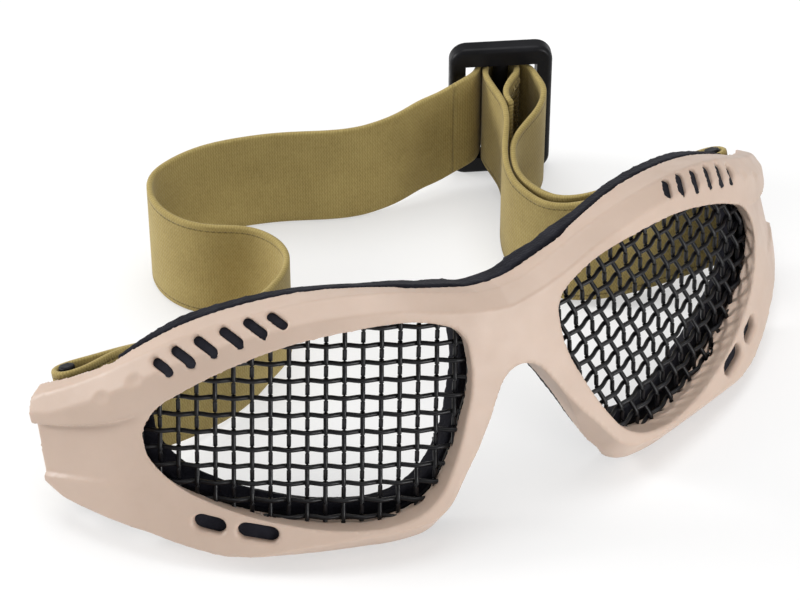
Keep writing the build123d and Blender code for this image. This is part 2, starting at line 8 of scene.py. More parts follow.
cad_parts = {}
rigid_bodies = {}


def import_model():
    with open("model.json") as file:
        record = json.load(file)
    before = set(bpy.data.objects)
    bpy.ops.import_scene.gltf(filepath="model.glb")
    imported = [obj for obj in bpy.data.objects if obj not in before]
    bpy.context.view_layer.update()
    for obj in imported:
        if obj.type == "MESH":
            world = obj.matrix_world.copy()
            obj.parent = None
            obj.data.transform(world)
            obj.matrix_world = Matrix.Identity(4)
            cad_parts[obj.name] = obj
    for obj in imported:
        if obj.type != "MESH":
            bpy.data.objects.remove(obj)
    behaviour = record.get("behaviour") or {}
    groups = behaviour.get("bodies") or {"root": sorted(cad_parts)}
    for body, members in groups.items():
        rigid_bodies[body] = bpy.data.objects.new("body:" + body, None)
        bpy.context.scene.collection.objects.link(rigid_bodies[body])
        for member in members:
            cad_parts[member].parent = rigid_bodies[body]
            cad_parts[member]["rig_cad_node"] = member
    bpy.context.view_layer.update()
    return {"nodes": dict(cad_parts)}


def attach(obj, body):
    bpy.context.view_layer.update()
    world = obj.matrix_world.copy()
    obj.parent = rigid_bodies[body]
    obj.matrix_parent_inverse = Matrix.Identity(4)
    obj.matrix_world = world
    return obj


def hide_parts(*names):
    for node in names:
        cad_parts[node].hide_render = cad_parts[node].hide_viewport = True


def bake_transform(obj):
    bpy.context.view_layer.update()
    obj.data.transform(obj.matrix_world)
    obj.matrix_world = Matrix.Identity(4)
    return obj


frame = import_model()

MM = 0.001

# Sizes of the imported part, in metres
setback = 52.2 * MM
rest_lift = 1.6 * MM
rest_lean = radians(22)
half_width = 88 * MM
frame_height = 57 * MM
seat_yaw = radians(23.8)
seat_reach = 12.3 * MM
strap_width = 25 * MM
strap_thickness = 1.3 * MM
strap_middle = 31.5 * MM
bar_radius = 1.7 * MM
bar_gap = 0.3 * MM
bar_x = 77.39 * MM
bar_reach = 38.01 * MM
buckle_x = 51.6 * MM
buckle_y = 101 * MM
buckle_depth = 4.4 * MM
buckle_turn = radians(-23)
buckle_edge = 5 * MM
level_share = 1.3
edge_fall_share = 0.12
side_level_share = 1.9
side_fall_share = 0.32
weave_radius = 5 * MM
fold_radius = 3.3 * MM
front_radius = 112.7 * MM
front_reach = 10.7 * MM
temple_start = 70 * MM
temple_radius = 65.98 * MM
brow_depth = 3.3 * MM
brow_rise_share = 0.9
route_span = 100 * MM

# Fineness of the copies that get moulded edges
shell_voxel = 0.45 * MM
foam_voxel = 0.7 * MM
clip_voxel = 0.3 * MM

# Wire cloth of the lenses, bowed forward by dome_rise
wire_radius = 0.48 * MM
wire_pitch = 3.66 * MM
wire_turn = radians(11)
wire_lines = 12
wire_steps = 8
wire_sides = 8
wire_lift_share = 0.92
wire_sink_share = 1.2
mesh_margin = 1.5 * MM
dome_rise = 2.5 * MM

# Pattern of the webbing, in the millimetres of its strip coordinates
rib_pitch = 1.05
pick_pitch = 0.62
groove_place = 11.1
groove_sharpness = 3.2
dash_pitch = 1.3


def worn_point(x, y, z):
    """A point of the worn attitude, moved to the lying part."""
    return Vector((x, y * cos(rest_lean) + z * sin(rest_lean) - setback,
                   z * cos(rest_lean) - y * sin(rest_lean) + rest_lift))


# Materials
class Paint:
    """A new material with a Principled shader, and the texture steps that the materials share."""

    def __init__(self, name):
        self.material = bpy.data.materials.new(name)
        self.material.use_nodes = True
        self.nodes = self.material.node_tree.nodes
        self.links = self.material.node_tree.links
        self.nodes.clear()
        self.output = self.nodes.new("ShaderNodeOutputMaterial")
        self.shader = self.nodes.new("ShaderNodeBsdfPrincipled")
        self.links.new(self.shader.outputs["BSDF"], self.output.inputs["Surface"])

    def place(self):
        return self.nodes.new("ShaderNodeTexCoord").outputs["Object"]

    def noise(self, scale, detail=4.0, roughness=0.5):
        node = self.nodes.new("ShaderNodeTexNoise")
        node.inputs["Scale"].default_value = scale
        node.inputs["Detail"].default_value = detail
        node.inputs["Roughness"].default_value = roughness
        self.links.new(self.place(), node.inputs["Vector"])
        return node.outputs["Fac"]

    def ramp(self, value, stops, socket):
        """Colours of a value from 0 to 1, led to a socket of the shader."""
        node = self.nodes.new("ShaderNodeValToRGB")
        while len(node.color_ramp.elements) < len(stops):
            node.color_ramp.elements.new(0.5)
        for element, (position, color) in zip(node.color_ramp.elements, stops):
            element.position = position
            element.color = (*color, 1.0)
        self.links.new(value, node.inputs["Fac"])
        self.links.new(node.outputs["Color"], self.shader.inputs[socket])

    def bump(self, height, distance, strength, before=None):
        node = self.nodes.new("ShaderNodeBump")
        node.inputs["Distance"].default_value = distance
        node.inputs["Strength"].default_value = strength
        self.links.new(height, node.inputs["Height"])
        if before is not None:
            self.links.new(before, node.inputs["Normal"])
        self.links.new(node.outputs["Normal"], self.shader.inputs["Normal"])
        return node.outputs["Normal"]

    def work_out(self, operation, first, second=None):
        """One step of arithmetic on numbers or sockets."""
        node = self.nodes.new("ShaderNodeMath")
        node.operation = operation
        for socket, value in zip(node.inputs, (first, second)):
            if isinstance(value, (int, float)):
                socket.default_value = value
            elif value is not None:
                self.links.new(value, socket)
        return node.outputs[0]

    def settle(self, values):
        """Constant values of the shader's sockets."""
        for socket, value in values.items():
            self.shader.inputs[socket].default_value = value


def grey(level):
    return (level,) * 3


def tan_plastic():
    paint = Paint("tan_plastic")
    tone = paint.noise(45.0, 5.0, 0.6)
    paint.ramp(tone, [(0.30, (0.475, 0.360, 0.288)), (0.70, (0.540, 0.416, 0.338))], "Base Color")
    paint.ramp(paint.noise(260.0, 3.0), [(0.3, grey(0.40)), (0.7, grey(0.52))], "Roughness")
    grain = paint.bump(paint.noise(2600.0, 2.0), 0.02 * MM, 0.5)
    paint.bump(paint.noise(90.0, 2.0), 0.10 * MM, 0.5, grain)
    paint.settle({
        "Specular IOR Level": 0.42,
        "Subsurface Weight": 0.15,
        "Subsurface Radius": (0.002, 0.0012, 0.0008),
    })
    return paint.material


def black_plastic():
    paint = Paint("black_plastic")
    tone = paint.noise(120.0)
    paint.ramp(tone, [(0.3, (0.004, 0.004, 0.005)), (0.7, (0.009, 0.009, 0.011))], "Base Color")
    paint.ramp(paint.noise(500.0, 3.0), [(0.3, grey(0.34)), (0.7, grey(0.50))], "Roughness")
    paint.bump(paint.noise(1800.0, 2.0), 0.03 * MM, 0.6)
    paint.settle({"Specular IOR Level": 0.15})
    return paint.material


def black_wire():
    paint = Paint("black_wire")
    tone = paint.noise(900.0, 3.0)
    paint.ramp(tone, [(0.35, (0.002, 0.002, 0.003)), (0.70, (0.006, 0.006, 0.008))], "Base Color")
    paint.ramp(tone, [(0.3, grey(0.30)), (0.7, grey(0.45))], "Roughness")
    paint.bump(tone, 0.04 * MM, 0.5)
    paint.settle({"Specular IOR Level": 0.32})
    return paint.material


def foam_cloth():
    paint = Paint("foam_cloth")
    tone = paint.noise(300.0)
    paint.ramp(tone, [(0.3, (0.005, 0.005, 0.009)), (0.7, (0.013, 0.013, 0.019))], "Base Color")
    knit = paint.nodes.new("ShaderNodeTexVoronoi")
    knit.inputs["Scale"].default_value = 1500.0
    paint.links.new(paint.place(), knit.inputs["Vector"])
    stitches = paint.bump(knit.outputs["Distance"], 0.15 * MM, 0.6)
    paint.bump(paint.noise(160.0, 3.0), 0.35 * MM, 0.6, stitches)
    paint.settle({
        "Roughness": 0.95,
        "Specular IOR Level": 0.2,
        "Sheen Weight": 0.04,
        "Sheen Roughness": 0.5,
    })
    return paint.material


def webbing():
    """Khaki elastic webbing: fine lengthwise ribs, a cross weave and a stitched groove near each edge,
    painted darker: partly its stitching, partly painted shade in the groove.
    """
    paint = Paint("khaki_webbing")
    work_out = paint.work_out

    def wave(place, pitch):
        return work_out("SINE", work_out("MULTIPLY", place, 2 * pi / pitch))

    uv = paint.nodes.new("ShaderNodeUVMap")
    uv.uv_map = "strip"
    split = paint.nodes.new("ShaderNodeSeparateXYZ")
    paint.links.new(uv.outputs["UV"], split.inputs["Vector"])
    along, across = split.outputs["X"], split.outputs["Y"]
    ribs, picks = wave(across, rib_pitch), wave(along, pick_pitch)
    weave = work_out("MULTIPLY", ribs, picks)

    off_groove = work_out("SUBTRACT", groove_place, work_out("ABSOLUTE", across))
    fall = work_out("MULTIPLY", work_out("ABSOLUTE", off_groove), groove_sharpness)
    line = work_out("MAXIMUM", work_out("SUBTRACT", 1.0, fall), 0.0)
    dashes = work_out("ADD", 0.78, work_out("MULTIPLY", wave(along, dash_pitch), 0.22))
    stitch_and_groove_shade = work_out("MULTIPLY", line, dashes)

    yarn = paint.noise(1400.0, 3.0, 0.7)
    cloudy = work_out("MULTIPLY", paint.noise(110.0, 5.0, 0.6), 0.3)
    blend = work_out("ADD", work_out("ADD", cloudy, work_out("MULTIPLY", yarn, 0.4)), 0.15)
    blend = work_out("ADD", blend, work_out("MULTIPLY", weave, 0.10))
    # The stitched line is painted darker: partly the stitching, partly painted shade in its groove.
    blend = work_out("SUBTRACT", blend, work_out("MULTIPLY", stitch_and_groove_shade, 0.42))
    stops = [(0.05, (0.085, 0.058, 0.014)), (0.42, (0.310, 0.232, 0.073)), (0.70, (0.430, 0.335, 0.120))]
    paint.ramp(blend, stops, "Base Color")

    height = work_out("ADD", work_out("MULTIPLY", picks, 0.40), work_out("MULTIPLY", ribs, 0.30))
    height = work_out("SUBTRACT", height, work_out("MULTIPLY", stitch_and_groove_shade, 2.4))
    paint.bump(yarn, 0.10 * MM, 0.5, paint.bump(height, 0.07 * MM, 0.8))
    paint.settle({"Roughness": 0.88, "Sheen Weight": 0.12, "Sheen Roughness": 0.45})
    return paint.material


def khaki_thread():
    paint = Paint("khaki_thread")
    yarn = paint.noise(2200.0, 3.0, 0.7)
    paint.ramp(yarn, [(0.3, (0.280, 0.210, 0.080)), (0.7, (0.420, 0.340, 0.165))], "Base Color")
    paint.bump(yarn, 0.08 * MM, 0.7)
    paint.settle({"Roughness": 0.8})
    return paint.material


MATERIALS = {
    "frame": tan_plastic(), "mesh": black_wire(), "trim": black_plastic(),
    "foam": foam_cloth(), "webbing": webbing(), "thread": khaki_thread(),
}


# Mesh tools
def new_piece(name, vertices, faces, slot, smooth=True):
    mesh = bpy.data.meshes.new(name)
    mesh.from_pydata([tuple(v) for v in vertices], [], faces)
    mesh.validate()
    piece = bpy.data.objects.new(name, mesh)
    bpy.context.scene.collection.objects.link(piece)
    dress(piece, slot, smooth)
    return piece


def dress(piece, slot, smooth=True):
    piece.data.materials.clear()
    piece.data.materials.append(MATERIALS[slot])
    piece.data.polygons.foreach_set("use_smooth", [smooth] * len(piece.data.polygons))
    piece.data.polygons.foreach_set("material_index", [0] * len(piece.data.polygons))
    piece.data.update()


def relax(mesh, rounds, pull=0.5, push=-0.52):
    """Even smoothing that nearly keeps the volume: each round pulls in and pushes back out."""
    count = len(mesh.vertices)
    points = np.zeros(count * 3)
    mesh.vertices.foreach_get("co", points)
    points = points.reshape(-1, 3)
    edges = np.zeros(len(mesh.edges) * 2, dtype=np.int64)
    mesh.edges.foreach_get("vertices", edges)
    a, b = edges.reshape(-1, 2).T
    degree = np.bincount(a, minlength=count) + np.bincount(b, minlength=count)
    degree = np.maximum(degree, 1)[:, None]
    for step in range(rounds * 2):
        total = np.zeros_like(points)
        for axis in range(3):
            total[:, axis] = (np.bincount(a, weights=points[b, axis], minlength=count)
                              + np.bincount(b, weights=points[a, axis], minlength=count))
        share = pull if step % 2 == 0 else push
        points += share * (total / degree - points)
    mesh.vertices.foreach_set("co", points.ravel())
    mesh.update()


def moulded(node, name, voxel, rounds, slot):
    """A copy of a CAD node with the soft edges of a moulding."""
    source = frame["nodes"][node]
    piece = bpy.data.objects.new(name, source.data.copy())
    bpy.context.scene.collection.objects.link(piece)
    remesh = piece.modifiers.new("remesh", "REMESH")
    remesh.mode = "VOXEL"
    remesh.voxel_size = voxel
    shaped = bpy.data.meshes.new_from_object(piece.evaluated_get(bpy.context.evaluated_depsgraph_get()))
    piece.modifiers.clear()
    piece.data = shaped
    relax(shaped, rounds)
    dress(piece, slot)
    return piece


# Frame, foam and clips. Each table holds distances from the middle and the value at each.
foam_front = 3.0 * MM
# How far the foam is drawn in beside the nose
NOSE_DRAW_IN = ((4 * MM, 9 * MM, 17 * MM, 24 * MM), (0.0, 1.5 * MM, 1.5 * MM, 0.0))
# Share by which the foam is thinner than its solid
FOAM_THINNING = ((12 * MM, 24 * MM, 62 * MM, 74 * MM), (0.0, 0.42, 0.42, 0.0))


def thin_foam(foam):
    """Draws the foam in towards the frame, as the photo's foam shows a thin edge."""
    for vertex in foam.data.vertices:
        x, y, z = vertex.co.x, vertex.co.y + setback, vertex.co.z - rest_lift
        reach = y * cos(rest_lean) - z * sin(rest_lean)
        behind = (reach + seat_reach) * cos(seat_yaw) - abs(x) * sin(seat_yaw) - foam_front
        if behind > 0:
            out = Vector((copysign(sin(seat_yaw), x),
                          -cos(seat_yaw) * cos(rest_lean),
                          cos(seat_yaw) * sin(rest_lean)))
            vertex.co += out * behind * float(np.interp(abs(x), *FOAM_THINNING))
        vertex.co.x -= copysign(np.interp(abs(x), *NOSE_DRAW_IN), x)


shell = moulded("frame_shell", "soft_frame", shell_voxel, 5, "frame")
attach(shell, "goggles")
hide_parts("frame_shell")
foam = moulded("face_foam", "soft_foam", foam_voxel, 8, "foam")
thin_foam(foam)
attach(foam, "goggles")
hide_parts("face_foam")
for side in ("left", "right"):
    clip = moulded("strap_clip_" + side, "soft_clip_" + side, clip_voxel, 3, "trim")
    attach(clip, "goggles")
    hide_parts("strap_clip_" + side)

# Lens opening in the front view, as shares of half_width and frame_height
OPENING_SHARES = [
    (0.118, 0.670), (0.131, 0.740), (0.165, 0.782), (0.204, 0.810), (0.262, 0.833),
    (0.340, 0.845), (0.430, 0.848), (0.520, 0.836), (0.600, 0.808), (0.680, 0.765),
    (0.745, 0.716), (0.790, 0.665), (0.813, 0.600), (0.817, 0.545), (0.806, 0.472),
    (0.774, 0.390), (0.719, 0.312), (0.652, 0.242), (0.574, 0.184), (0.493, 0.136),
    (0.420, 0.110), (0.350, 0.103), (0.296, 0.119), (0.253, 0.158), (0.219, 0.222),
    (0.184, 0.318), (0.151, 0.436), (0.123, 0.567),
]


def widened(points, margin):
    low, high = points.min(0), points.max(0)
    middle = (low + high) / 2
    return middle + (points - middle) * (1 + 2 * margin / (high - low))


def span(outline, origin, direction):
    """Where a line crosses a closed outline: the first and the last place along it."""
    side = np.array((-direction[1], direction[0]))
    ends = []
    for p, q in zip(outline, np.roll(outline, -1, axis=0)):
        dp, dq = (p - origin) @ side, (q - origin) @ side
        if dp * dq < 0:
            cross = p + (q - p) * dp / (dp - dq)
            ends.append((cross - origin) @ direction)
    return (min(ends), max(ends)) if len(ends) >= 2 else None


def tube(path, radius, sides, vertices, faces):
    """Adds a closed tube along a path of points."""
    path = [Vector(p) for p in path]
    base = len(vertices)
    up = Vector((0, 0, 1))
    steepest = 0.2
    for number, point in enumerate(path):
        ahead = path[min(number + 1, len(path) - 1)] - path[max(number - 1, 0)]
        ahead.normalize()
        side = ahead.cross(up)
        if side.length < steepest:
            side = ahead.cross(Vector((0, 1, 0)))
        side.normalize()
        top = side.cross(ahead)
        for k in range(sides):
            turn = 2 * pi * k / sides
            vertices.append(point + (side * cos(turn) + top * sin(turn)) * radius)
    for ring in range(len(path) - 1):
        for k in range(sides):
            a = base + ring * sides + k
            b = base + ring * sides + (k + 1) % sides
            faces.append((a, b, b + sides, a + sides))
    faces.append(tuple(base + k for k in reversed(range(sides))))
    last = base + (len(path) - 1) * sides
    faces.append(tuple(last + k for k in range(sides)))


def lens_mesh(side):
    """Woven wire cloth: crimped wires that pass over and under each other on a sheet bowed sideways."""
    outline = np.array(OPENING_SHARES) * (half_width / cos(seat_yaw), frame_height)
    outline = widened(outline, mesh_margin)
    low, high = outline.min(0), outline.max(0)
    middle = (low + high) / 2
    reach = (high - low) / 2
    across = worn_point(cos(seat_yaw), sin(seat_yaw), 0) - worn_point(0, 0, 0)
    up = worn_point(0, 0, 1) - worn_point(0, 0, 0)
    out = worn_point(sin(seat_yaw), -cos(seat_yaw), 0) - worn_point(0, 0, 0)
    start = worn_point(0, -seat_reach, 0)
    vertices, faces = [], []
    turned = [np.array((cos(wire_turn), sin(wire_turn))), np.array((-sin(wire_turn), cos(wire_turn)))]
    for family in (0, 1):
        run, step = turned[family], turned[1 - family]
        for line in range(-wire_lines, wire_lines + 1):
            origin = middle + step * line * wire_pitch
            ends = span(outline, origin, run)
            if ends is None:
                continue
            first, last = ends
            count = max(int((last - first) / wire_pitch * wire_steps), 2)
            path = []
            for k in range(count + 1):
                t = first + (last - first) * k / count
                spot = origin + run * t
                bow = dome_rise * max(1 - ((spot[0] - middle[0]) / reach[0]) ** 2, 0)
                phase = pi * (t / wire_pitch + line) + (pi if family else 0)
                lift = wire_radius * wire_lift_share * cos(phase)
                depth = bow + lift - wire_radius * wire_sink_share
                point = start + across * spot[0] + up * spot[1] + out * depth
                path.append(Vector((point.x * side, point.y, point.z)))
            tube(path, wire_radius, wire_sides, vertices, faces)
    if side < 0:
        faces = [tuple(reversed(face)) for face in faces]
    return vertices, faces


for name, side in (("right", 1), ("left", -1)):
    piece = new_piece("woven_lens_" + name, *lens_mesh(side), "mesh")
    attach(piece, "goggles")
    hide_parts("mesh_lens_" + name)


# Black foam pads set just under the vents of the brow and the drain slots: partly the foam that lies
# behind them, partly a painted shade that stands in for the shadow deep in these holes
TOP_SHARES = [
    (1.000, 0.625), (0.994, 0.692), (0.972, 0.728), (0.912, 0.771), (0.824, 0.834),
    (0.717, 0.903), (0.632, 0.939), (0.545, 0.958), (0.430, 0.965), (0.330, 0.951),
    (0.228, 0.921), (0.125, 0.873), (0.056, 0.843), (0.000, 0.834),
]
VENT_SHARES = [
    (0.508, 0.933), (0.556, 0.924), (0.608, 0.908), (0.662, 0.889), (0.710, 0.865), (0.753, 0.836),
]
SLOT_SHARES = [((0.717, 0.217), (0.745, 0.238)), ((0.618, 0.158), (0.664, 0.186))]
vent_width = 2.0 * MM
vent_length = 6.2 * MM
vent_tilt_share = 0.7
slot_height = 3.5 * MM
# How deep the linings lie, and their own sizes
vent_depth = 0.8 * MM
slot_depth = 1.8 * MM
lining_lap = 0.25 * MM
lining_edge = 0.15 * MM
lining_thickness = 1.0 * MM
lining_face_share = 0.7
slope_step = 1.9 * MM


def front_line(x):
    """Reach of the outer face at x, measured to the back."""
    center = front_radius - front_reach
    if x <= temple_start:
        return center - sqrt(front_radius**2 - x**2)
    turn = asin(temple_start / front_radius)
    arc_x = temple_start - temple_radius * sin(turn)
    arc_y = center - (front_radius - temple_radius) * cos(turn)
    return arc_y - sqrt(max(temple_radius**2 - (x - arc_x) ** 2, 0))


def slope_reach(x, z):
    foot = np.interp(x / half_width, *np.array(sorted(TOP_SHARES)).T) * frame_height - brow_depth
    return front_line(x) + max(z - foot, 0) / brow_rise_share


def lining(x, z, step, length, width, sunk, side, vertices, faces):
    """A stadium-shaped black pad across a vent, sunk below the outer face: partly foam, partly painted
    shade standing in for the shadow in the hole.
    """
    side_x = (slope_reach(x + slope_step, z) - slope_reach(x - slope_step, z)) / (2 * slope_step)
    side_z = (slope_reach(x, z + slope_step / 4) - slope_reach(x, z - slope_step / 4)) / (slope_step / 2)
    base = worn_point(0, 0, 0)
    out = (worn_point(side_x, -1, side_z) - base).normalized()
    run = (worn_point(step[0], side_x * step[0] + side_z * step[1], step[1]) - base).normalized()
    aside = out.cross(run)
    middle = worn_point(x, slope_reach(x, z), z) - out * sunk
    start, count = len(vertices), 20
    radius = width / 2 + lining_lap
    straight = max(length - width, 0) / 2
    for depth, shrink in ((0, lining_face_share), (lining_edge, 1.0), (lining_thickness, 1.0)):
        for k in range(count):
            turn = 2 * pi * (k + 0.5) / count
            u = radius * shrink * cos(turn) + (straight if cos(turn) > 0 else -straight)
            point = middle + run * u + aside * (radius * shrink * sin(turn)) - out * depth
            vertices.append(Vector((point.x * side, point.y, point.z)))
    rings = [list(range(start + r * count, start + (r + 1) * count)) for r in range(3)]
    new = [tuple(rings[0]), tuple(reversed(rings[2]))]
    for upper, lower in zip(rings, rings[1:]):
        for k in range(count):
            new.append((upper[k], lower[k], lower[(k + 1) % count], upper[(k + 1) % count]))
    faces.extend(tuple(reversed(face)) if side < 0 else face for face in new)


vertices, faces = [], []
for side in (-1, 1):
    for number, (x, z) in enumerate(VENT_SHARES):
        short = vent_width / 2 if number in (0, len(VENT_SHARES) - 1) else 0
        lining(x * half_width, z * frame_height, (vent_tilt_share, 1), vent_length - short, vent_width,
               vent_depth, side, vertices, faces)
    for (x0, z0), (x1, z1) in SLOT_SHARES:
        wide, tall = (x1 - x0) * half_width, (z1 - z0) * frame_height
        back = front_line(x1 * half_width) - front_line(x0 * half_width)
        length = sqrt(wide**2 + tall**2 + back**2)
        lining((x0 + x1) / 2 * half_width, (z0 + z1) / 2 * frame_height, (wide, tall),
               length + slot_height, slot_height, slot_depth, side, vertices, faces)
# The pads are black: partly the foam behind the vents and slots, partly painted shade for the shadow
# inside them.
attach(new_piece("vent_foam_and_shade_pads", vertices, faces, "foam", False), "goggles")


# Strap: a route is a list of stations, each with x, y, low edge and lean as shares
def bar_wrap(side, turns):
    """Stations of the strap's turn round a clip's bar."""
    radius = bar_radius + bar_gap + strap_thickness / 2
    stations = []
    for turn in turns:
        a = radians(turn)
        center = worn_point(side * (bar_x + radius * sin(a)), bar_reach + radius * cos(a), strap_middle)
        low_edge = center.z - strap_width / 2 * cos(rest_lean)
        place = (center.x, center.y + setback, low_edge)
        stations.append((*(value / route_span for value in place), 1.0))
    return stations


def buckle_route(points, radius):
    """Stations of a layer that comes up to the buckle's bar, turns round it and leaves."""
    before, after = points
    spots = [(u * buckle_depth, v * buckle_depth) for u, v in before]
    spots += [(radius * sin(radians(turn)), radius * cos(radians(turn))) for turn in BAR_TURNS]
    spots += [(u * buckle_depth, v * buckle_depth) for u, v in after]
    stations = []
    for across, behind in spots:
        x = buckle_x + across * cos(buckle_turn) - behind * sin(buckle_turn)
        y = buckle_y + across * sin(buckle_turn) + behind * cos(buckle_turn)
        below = max(-behind / buckle_depth - level_share, 0)
        aside = max(-across / buckle_depth - side_level_share, 0)
        edge = buckle_edge * (1 - edge_fall_share * below - side_fall_share * aside)
        stations.append((x / route_span, y / route_span, edge / route_span, 0.0))
    return stations


WRAP_TURNS = [0, 45, 90, 135, 180]
BAR_TURNS = [-90, -60, -30, 0, 30, 60, 90]
TAIL_SHARES = [(-0.615, 0.480, 0.044, 0.75), (-0.650, 0.475, 0.049, 0.82), (-0.690, 0.463, 0.055, 0.92)]
REAR_SHARES = [
    (-0.720, 0.490, 0.042, 1.00), (-0.650, 0.495, 0.034, 0.82), (-0.570, 0.500, 0.022, 0.64),
    (-0.450, 0.515, 0.008, 0.36), (-0.360, 0.545, 0.002, 0.18), (-0.285, 0.585, 0, 0),
    (-0.225, 0.630, 0, 0), (-0.198, 0.685, 0, 0), (-0.202, 0.735, 0, 0), (-0.235, 0.790, 0, 0),
    (-0.295, 0.830, 0, 0), (-0.343, 0.875, 0, 0), (-0.369, 0.935, 0, 0), (-0.369, 1.000, 0, 0),
    (-0.340, 1.058, 0, 0), (-0.280, 1.090, 0, 0), (-0.200, 1.102, 0, 0), (-0.110, 1.090, 0, 0),
    (-0.020, 1.063, 0, 0), (0.060, 1.028, 0, 0), (0.120, 1.006, 0, 0), (0.188, 0.996, 0.003, 0),
    (0.250, 0.996, 0.010, 0), (0.305, 1.002, 0.019, 0),
]
FRONT_LAYER_SHARES = [
    (0.417, 0.809, 0.028, 0), (0.387, 0.761, 0.016, 0), (0.367, 0.714, 0.006, 0),
    (0.358, 0.665, 0.001, 0), (0.362, 0.610, 0, 0), (0.378, 0.560, 0.002, 0.12),
    (0.410, 0.518, 0.008, 0.32), (0.460, 0.488, 0.018, 0.52), (0.530, 0.466, 0.034, 0.76),
    (0.620, 0.452, 0.050, 0.94), (0.710, 0.448, 0.057, 1.00),
]
BACK_LAYER_SHARES = [
    (0.710, 0.490, 0.042, 1.00), (0.620, 0.490, 0.036, 0.90), (0.540, 0.498, 0.024, 0.70),
    (0.475, 0.518, 0.012, 0.44), (0.426, 0.550, 0.004, 0.20), (0.396, 0.592, 0, 0.04),
    (0.381, 0.640, 0, 0), (0.380, 0.690, 0.003, 0), (0.393, 0.734, 0.009, 0), (0.420, 0.776, 0.018, 0),
]
WEAVE_SHARES = (
    [(-3.40, -1.60), (-2.60, -1.38), (-1.95, -1.18), (-1.45, -0.72)],
    [(1.44, -0.42), (1.74, -1.25), (1.97, -2.05), (1.84, -2.95), (1.32, -3.95)],
)
FOLD_SHARES = (
    [(-0.16, -4.10), (-0.18, -3.25), (-0.42, -2.35), (-0.76, -1.40), (-0.86, -0.55)],
    [(0.80, -0.50), (0.52, -1.18), (0.14, -1.85), (0.02, -2.45), (0.20, -3.10)],
)


def smooth_run(points, spacing):
    """Evenly spaced points on the smooth curve through the given ones, by natural cubic pieces."""
    points = np.array(points, float)
    steps = np.linalg.norm(np.diff(points[:, :2], axis=0), axis=1)
    marks = np.concatenate(([0], np.cumsum(steps)))
    count = len(points)
    matrix, right = np.zeros((count, count)), np.zeros((count, points.shape[1]))
    matrix[0, 0] = matrix[-1, -1] = 1
    for k in range(1, count - 1):
        h0, h1 = steps[k - 1], steps[k]
        matrix[k, k - 1:k + 2] = h0, 2 * (h0 + h1), h1
        right[k] = 6 * ((points[k + 1] - points[k]) / h1 - (points[k] - points[k - 1]) / h0)
    bends = np.linalg.solve(matrix, right)
    samples = np.linspace(0, marks[-1], int(marks[-1] / spacing) + 1)
    out = []
    for s in samples:
        k = min(np.searchsorted(marks, s, side="right") - 1, count - 2)
        h = steps[k]
        a, b = (marks[k + 1] - s) / h, (s - marks[k]) / h
        out.append(a * points[k] + b * points[k + 1]
                   + ((a**3 - a) * bends[k] + (b**3 - b) * bends[k + 1]) * h * h / 6)
    return np.array(out)


# Section of the webbing: how far in from the edge its rounding starts, and how finely it is drawn
section_edge = 0.45 * MM
face_steps = 40
edge_steps = 6
strap_step = 0.8 * MM
floor_gap = 0.1 * MM
# Added to the width coordinate on the face that has no stitched lines, so that face gets none of their
# painted groove shade
plain_offset = 1000


def strap_section():
    """Points round the section: across the width and through the thickness, with the rounded edges."""
    half_w, half_t = strap_width / 2, strap_thickness / 2
    one_side = []
    for k in range(face_steps + 1):
        w = -half_w + section_edge + (strap_width - 2 * section_edge) * k / face_steps
        one_side.append((w, half_t))
    for k in range(1, edge_steps):
        turn = pi / 2 - pi * k / edge_steps
        one_side.append((half_w - section_edge + section_edge * cos(turn), half_t * sin(turn)))
    return one_side + [(-w, -t) for w, t in one_side]


def strap_mesh(name, stations, first_length):
    """A webbing strip through the stations, and the length that the strap has reached at its end."""
    run = smooth_run([(x * route_span, y * route_span - setback, edge * route_span, lean)
                      for x, y, edge, lean in stations], strap_step)
    section = strap_section()
    ring = len(section)
    vertices, coords = [], []
    length = first_length
    for number, (x, y, edge, lean) in enumerate(run):
        lean = rest_lean * min(max(lean, 0), 1)
        upward = Vector((0, sin(lean), cos(lean)))
        ahead = Vector(run[min(number + 1, len(run) - 1)][:2]) - Vector(run[max(number - 1, 0)][:2])
        ahead = Vector((ahead.x, ahead.y, 0)).normalized()
        ahead = (ahead - upward * ahead.dot(upward)).normalized()
        aside = upward.cross(ahead)
        center = Vector((x, y, max(edge, floor_gap) + strap_width / 2 * cos(lean)))
        if number:
            length += (center - before).length
        before = center
        for w, t in section:
            vertices.append(center + upward * w + aside * t)
            coords.append((length / MM, w / MM))
    faces = []
    for row in range(len(run) - 1):
        for k in range(ring):
            a, b = row * ring + k, row * ring + (k + 1) % ring
            faces.append((a, b, b + ring, a + ring))
    faces.append(tuple(reversed(range(ring))))
    faces.append(tuple(range((len(run) - 1) * ring, len(run) * ring)))
    piece = new_piece(name, vertices, faces, "webbing")
    layer = piece.data.uv_layers.new(name="strip")
    for polygon in piece.data.polygons:
        plain_side = polygon.index % ring >= ring // 2
        for index in polygon.loop_indices:
            length_mm, width_mm = coords[piece.data.loops[index].vertex_index]
            layer.data[index].uv = (length_mm, width_mm + plain_offset * plain_side)
    return piece, length


weave = buckle_route(WEAVE_SHARES, weave_radius)
fold = buckle_route(FOLD_SHARES, fold_radius)
rear_route = TAIL_SHARES + bar_wrap(-1, reversed(WRAP_TURNS)) + REAR_SHARES + weave[:2]
loop_route = (weave[1:] + list(reversed(BACK_LAYER_SHARES)) + bar_wrap(1, WRAP_TURNS)
              + list(reversed(FRONT_LAYER_SHARES)) + fold)
# The strap's length is counted on from the rear piece into the loop
rear_strap, rear_length = strap_mesh("rear_strap", rear_route, 0)
loop_strap, loop_end = strap_mesh("loop_strap", loop_route, rear_length)
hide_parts("strap_rear_run")
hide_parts("strap_right_loop", "strap_weave", "strap_fold")
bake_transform(rear_strap)
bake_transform(loop_strap)


